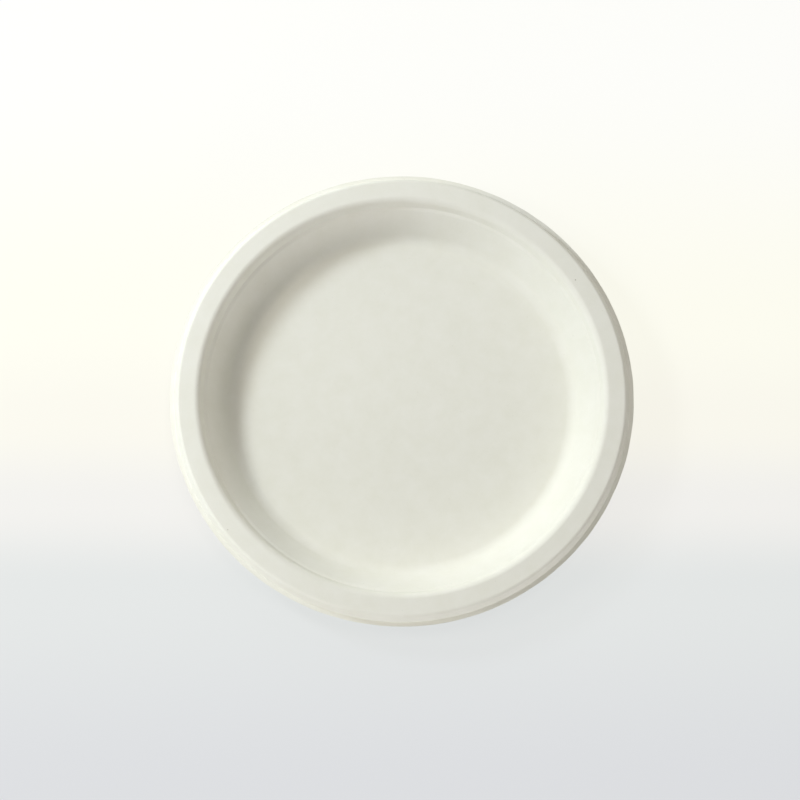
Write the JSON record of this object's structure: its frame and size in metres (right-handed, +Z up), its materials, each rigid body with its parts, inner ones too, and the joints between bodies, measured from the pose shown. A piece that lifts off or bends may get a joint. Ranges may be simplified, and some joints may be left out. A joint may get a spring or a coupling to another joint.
{
  "type": "paper plate",
  "caption": "Round disposable pulp plate with a flat floor, sloping side wall, small stacking step, flat rim and turned-down skirt with a trimmed lip.",
  "frame": {"origin": "centre of the plate's underside, on the surface it stands on", "axes": "+Z up along the plate's axis, from the floor towards the rim; X and Y lie in the floor's plane"},
  "size_m": [0.225, 0.225, 0.0205],
  "materials": {
    "pulp": "matte"
  },
  "bodies": {
    "root": {"plate": "pulp"}
  },
  "joints": []
}
